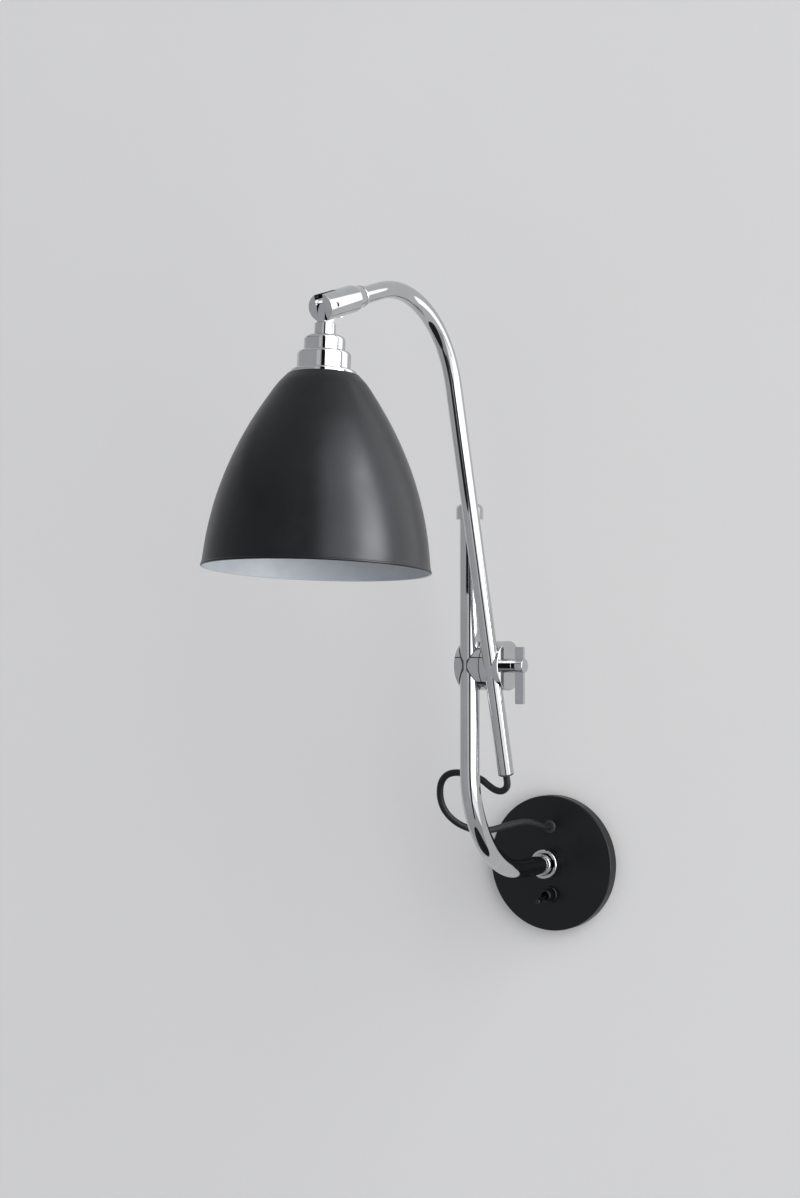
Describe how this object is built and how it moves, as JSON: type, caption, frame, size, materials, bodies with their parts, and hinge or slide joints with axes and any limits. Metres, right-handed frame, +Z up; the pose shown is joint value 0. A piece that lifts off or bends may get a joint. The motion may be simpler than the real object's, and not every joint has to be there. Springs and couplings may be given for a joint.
{
  "type": "articulating wall lamp",
  "caption": "Wall lamp: a bent bracket tube carries a clamp that slides and turns, a tilting and sliding curved arm, and a hinged bell shade.",
  "frame": {"origin": "centre of the wall plate's back, on the wall, between the two wall screws", "axes": "+Z up along the bracket tube's straight leg, +Y into the wall, +X to the right for someone who faces the wall"},
  "size_m": [0.161, 0.4784, 0.5158],
  "materials": {
    "black_enamel": "satin",
    "chrome": "polished",
    "zinc_steel": "satin",
    "brass": "satin",
    "bulb_metal": "satin",
    "black_plastic": "matte",
    "pale_plastic": "matte",
    "black_rubber": "matte",
    "flex_sheath": "satin",
    "opal_glass": "opal, satin"
  },
  "bodies": {
    "root": {"wall_plate": "black_enamel", "mounting_plate": "zinc_steel", "rim_screws": "zinc_steel", "terminal_block": "pale_plastic", "bracket_tube": "chrome", "tube_collar": "chrome", "tube_ferrule": "chrome", "lock_washer": "zinc_steel", "lock_nut": "zinc_steel", "tube_cap": "chrome", "cord_grommet": "black_rubber", "flex_cord": "flex_sheath", "inlet_cable": "flex_sheath", "switch_body": "black_plastic", "switch_bush": "black_enamel", "switch_nut": "black_enamel"},
    "toggle": {"switch_lever": "black_enamel"},
    "carriage": {"tube_liner": "black_plastic"},
    "clamp": {"clamp_block_left": "chrome", "friction_washer": "black_plastic", "clamp_bolt": "chrome"},
    "lever": {"thrust_washer": "chrome", "lever_boss": "chrome", "lever_blade": "chrome"},
    "tilt": {"clamp_block_right": "chrome"},
    "arm": {"arm_tube": "chrome", "arm_gland": "black_rubber", "arm_cable": "flex_sheath", "sleeve_bead": "chrome", "head_sleeve": "chrome", "sleeve_screw": "zinc_steel", "pivot_pin": "chrome"},
    "head": {"knuckle": "chrome", "holder_cap": "chrome", "holder_skirt": "chrome", "shade_ring": "chrome", "shade": "black_enamel", "retaining_ring": "black_plastic", "holder_core": "pale_plastic", "screw_shell": "brass", "centre_contact": "brass", "bulb_cap": "bulb_metal", "bulb_glass": "opal_glass"}
  },
  "joints": [
    {"name": "carriage_slide", "type": "slide", "parent": "root", "child": "carriage", "axis": [0, 0, 1], "range_m": [-0.06, 0.095], "deforming": ["flex_cord"]},
    {"name": "clamp_yaw", "type": "hinge", "parent": "carriage", "child": "clamp", "pos_m": [0, -0.1482, 0.17145], "axis": [0, 0, 1], "range_deg": [-90, 90], "deforming": ["flex_cord"]},
    {"name": "arm_tilt", "type": "hinge", "parent": "clamp", "child": "tilt", "pos_m": [0.0214, -0.13655, 0.17145], "axis": [1, 0, 0], "range_deg": [-30, 60], "deforming": ["flex_cord"]},
    {"name": "arm_slide", "type": "slide", "parent": "tilt", "child": "arm", "axis": [0, -0.2629, 0.9648], "range_m": [-0.08, 0.05], "deforming": ["flex_cord"]},
    {"name": "shade_tilt", "type": "hinge", "parent": "arm", "child": "head", "pos_m": [0.0214, -0.38619, 0.42542], "axis": [1, 0, 0], "range_deg": [-75, 29]},
    {"name": "lever_turn", "type": "hinge", "parent": "clamp", "child": "lever", "pos_m": [0.0396, -0.13655, 0.17145], "axis": [1, 0, 0], "range_deg": [0, 110]},
    {"name": "switch_toggle", "type": "hinge", "parent": "root", "child": "toggle", "pos_m": [0, -0.0143, -0.0272], "axis": [1, 0, 0], "range_deg": [-24, 0]}
  ]
}
